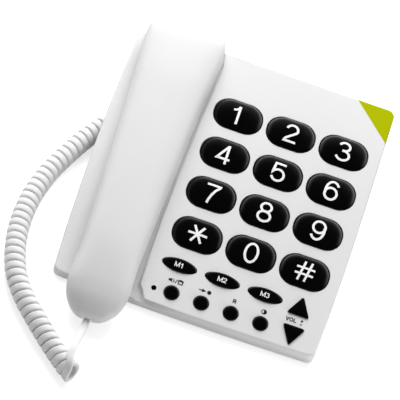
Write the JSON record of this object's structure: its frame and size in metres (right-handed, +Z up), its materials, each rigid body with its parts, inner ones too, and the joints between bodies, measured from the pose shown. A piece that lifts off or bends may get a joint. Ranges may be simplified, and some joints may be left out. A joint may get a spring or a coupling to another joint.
{
  "type": "corded landline phone",
  "caption": "Large-key corded desk phone: wedge base with key panel, cradle with a lift-off handset, coiled cord, spring keys, hook plunger and ringer switch.",
  "frame": {"origin": "on the table plane under the middle of the base; the base's flat underside lies 1.2 mm above it and the feet touch it", "axes": "+Y from the front of the phone to its rear, +Z up, +X to the user's right; the handset lies on the left, at negative X"},
  "size_m": [0.2004, 0.265, 0.0574],
  "materials": {
    "housing_white": "fine spark-eroded texture, slight sheen",
    "handset_white": "smooth satin",
    "underside_white": "fine texture",
    "key_black": "smooth semi-gloss, white printed figures",
    "lens_green": "translucent, glossy",
    "light_red": "clear tinted",
    "mat_rubber": "matt silicone",
    "board_green": "solder mask",
    "inner_black": "moulded",
    "jack_grey": "moulded",
    "cord_white": "smooth flexible sheath",
    "plug_clear": "polished",
    "screw_steel": "zinc plated",
    "weight_iron": "raw",
    "foot_rubber": "matt",
    "capsule_metal": "can"
  },
  "bodies": {
    "base": {"upper_housing": "housing_white", "lower_housing": "underside_white", "ring_indicator_lens": "lens_green", "in_use_light": "light_red", "keypad_board": "board_green", "keypad_mat": "mat_rubber", "main_board": "board_green", "ringer": "inner_black", "line_jack": "inner_black", "handset_cord_jack": "jack_grey", "hook_switch": "inner_black", "hook_spring": "screw_steel", "ringer_switch": "inner_black", "rubber_feet": "foot_rubber", "housing_screws": "screw_steel", "board_screws": "screw_steel", "curly_cord": "cord_white", "handset_cord": "cord_white", "base_cord": "cord_white", "base_plug": "plug_clear"},
    "handset": {"handset_outer_shell": "handset_white", "handset_inner_shell": "handset_white", "receiver_capsule": "inner_black", "microphone_capsule": "capsule_metal", "handset_weight": "weight_iron", "handset_jack": "jack_grey", "handset_screws": "screw_steel", "handset_plug": "plug_clear"},
    "hook": {"hook_plunger": "housing_white"},
    "ringer_knob": {"ringer_switch_knob": "inner_black"},
    "key_1": {"key_1": "key_black"},
    "key_2": {"key_2": "key_black"},
    "key_3": {"key_3": "key_black"},
    "key_4": {"key_4": "key_black"},
    "key_5": {"key_5": "key_black"},
    "key_6": {"key_6": "key_black"},
    "key_7": {"key_7": "key_black"},
    "key_8": {"key_8": "key_black"},
    "key_9": {"key_9": "key_black"},
    "key_star": {"key_star": "key_black"},
    "key_0": {"key_0": "key_black"},
    "key_hash": {"key_hash": "key_black"},
    "key_m1": {"key_m1": "key_black"},
    "key_m2": {"key_m2": "key_black"},
    "key_m3": {"key_m3": "key_black"},
    "key_ringer": {"key_ringer": "key_black"},
    "key_redial": {"key_redial": "key_black"},
    "key_recall": {"key_recall": "key_black"},
    "key_mute": {"key_mute": "key_black"},
    "key_volume_up": {"key_volume_up": "key_black"},
    "key_volume_down": {"key_volume_down": "key_black"}
  },
  "joints": [
    {"name": "handset_lift", "type": "slide", "parent": "base", "child": "handset", "axis": [0, 0, 1], "range_m": [0, 0.04]},
    {"name": "hook_rise", "type": "slide", "parent": "base", "child": "hook", "axis": [0, 0, 1], "range_m": [0, 0.004], "deforming": ["hook_spring"]},
    {"name": "ringer_knob_slide", "type": "slide", "parent": "base", "child": "ringer_knob", "axis": [1, 0, 0], "range_m": [0, 0.004]},
    {"name": "key_1_press", "type": "slide", "parent": "base", "child": "key_1", "axis": [0, 0.1422, -0.9898], "range_m": [0, 0.0011], "stiffness_N_per_m": 600},
    {"name": "key_2_press", "type": "slide", "parent": "base", "child": "key_2", "axis": [0, 0.1422, -0.9898], "range_m": [0, 0.0011], "stiffness_N_per_m": 600},
    {"name": "key_3_press", "type": "slide", "parent": "base", "child": "key_3", "axis": [0, 0.1422, -0.9898], "range_m": [0, 0.0011], "stiffness_N_per_m": 600},
    {"name": "key_4_press", "type": "slide", "parent": "base", "child": "key_4", "axis": [0, 0.1625, -0.9867], "range_m": [0, 0.0011], "stiffness_N_per_m": 600},
    {"name": "key_5_press", "type": "slide", "parent": "base", "child": "key_5", "axis": [0, 0.1625, -0.9867], "range_m": [0, 0.0011], "stiffness_N_per_m": 600},
    {"name": "key_6_press", "type": "slide", "parent": "base", "child": "key_6", "axis": [0, 0.1625, -0.9867], "range_m": [0, 0.0011], "stiffness_N_per_m": 600},
    {"name": "key_7_press", "type": "slide", "parent": "base", "child": "key_7", "axis": [0, 0.1828, -0.9832], "range_m": [0, 0.0011], "stiffness_N_per_m": 600},
    {"name": "key_8_press", "type": "slide", "parent": "base", "child": "key_8", "axis": [0, 0.1828, -0.9832], "range_m": [0, 0.0011], "stiffness_N_per_m": 600},
    {"name": "key_9_press", "type": "slide", "parent": "base", "child": "key_9", "axis": [0, 0.1828, -0.9832], "range_m": [0, 0.0011], "stiffness_N_per_m": 600},
    {"name": "key_star_press", "type": "slide", "parent": "base", "child": "key_star", "axis": [0, 0.2029, -0.9792], "range_m": [0, 0.0011], "stiffness_N_per_m": 600},
    {"name": "key_0_press", "type": "slide", "parent": "base", "child": "key_0", "axis": [0, 0.2029, -0.9792], "range_m": [0, 0.0011], "stiffness_N_per_m": 600},
    {"name": "key_hash_press", "type": "slide", "parent": "base", "child": "key_hash", "axis": [0, 0.2029, -0.9792], "range_m": [0, 0.0011], "stiffness_N_per_m": 600},
    {"name": "key_m1_press", "type": "slide", "parent": "base", "child": "key_m1", "axis": [0, 0.2187, -0.9758], "range_m": [0, 0.0011], "stiffness_N_per_m": 600},
    {"name": "key_m2_press", "type": "slide", "parent": "base", "child": "key_m2", "axis": [0, 0.2187, -0.9758], "range_m": [0, 0.0011], "stiffness_N_per_m": 600},
    {"name": "key_m3_press", "type": "slide", "parent": "base", "child": "key_m3", "axis": [0, 0.2187, -0.9758], "range_m": [0, 0.0011], "stiffness_N_per_m": 600},
    {"name": "key_ringer_press", "type": "slide", "parent": "base", "child": "key_ringer", "axis": [0, 0.2314, -0.9729], "range_m": [0, 0.0011], "stiffness_N_per_m": 600},
    {"name": "key_redial_press", "type": "slide", "parent": "base", "child": "key_redial", "axis": [0, 0.2314, -0.9729], "range_m": [0, 0.0011], "stiffness_N_per_m": 600},
    {"name": "key_recall_press", "type": "slide", "parent": "base", "child": "key_recall", "axis": [0, 0.2314, -0.9729], "range_m": [0, 0.0011], "stiffness_N_per_m": 600},
    {"name": "key_mute_press", "type": "slide", "parent": "base", "child": "key_mute", "axis": [0, 0.2314, -0.9729], "range_m": [0, 0.0011], "stiffness_N_per_m": 600},
    {"name": "key_volume_up_press", "type": "slide", "parent": "base", "child": "key_volume_up", "axis": [0, 0.2197, -0.9756], "range_m": [0, 0.0011], "stiffness_N_per_m": 600},
    {"name": "key_volume_down_press", "type": "slide", "parent": "base", "child": "key_volume_down", "axis": [0, 0.2308, -0.973], "range_m": [0, 0.0011], "stiffness_N_per_m": 600}
  ],
  "couplings": [
    {"joint": "hook_rise", "follows": "handset_lift", "ratio": 0.1}
  ]
}
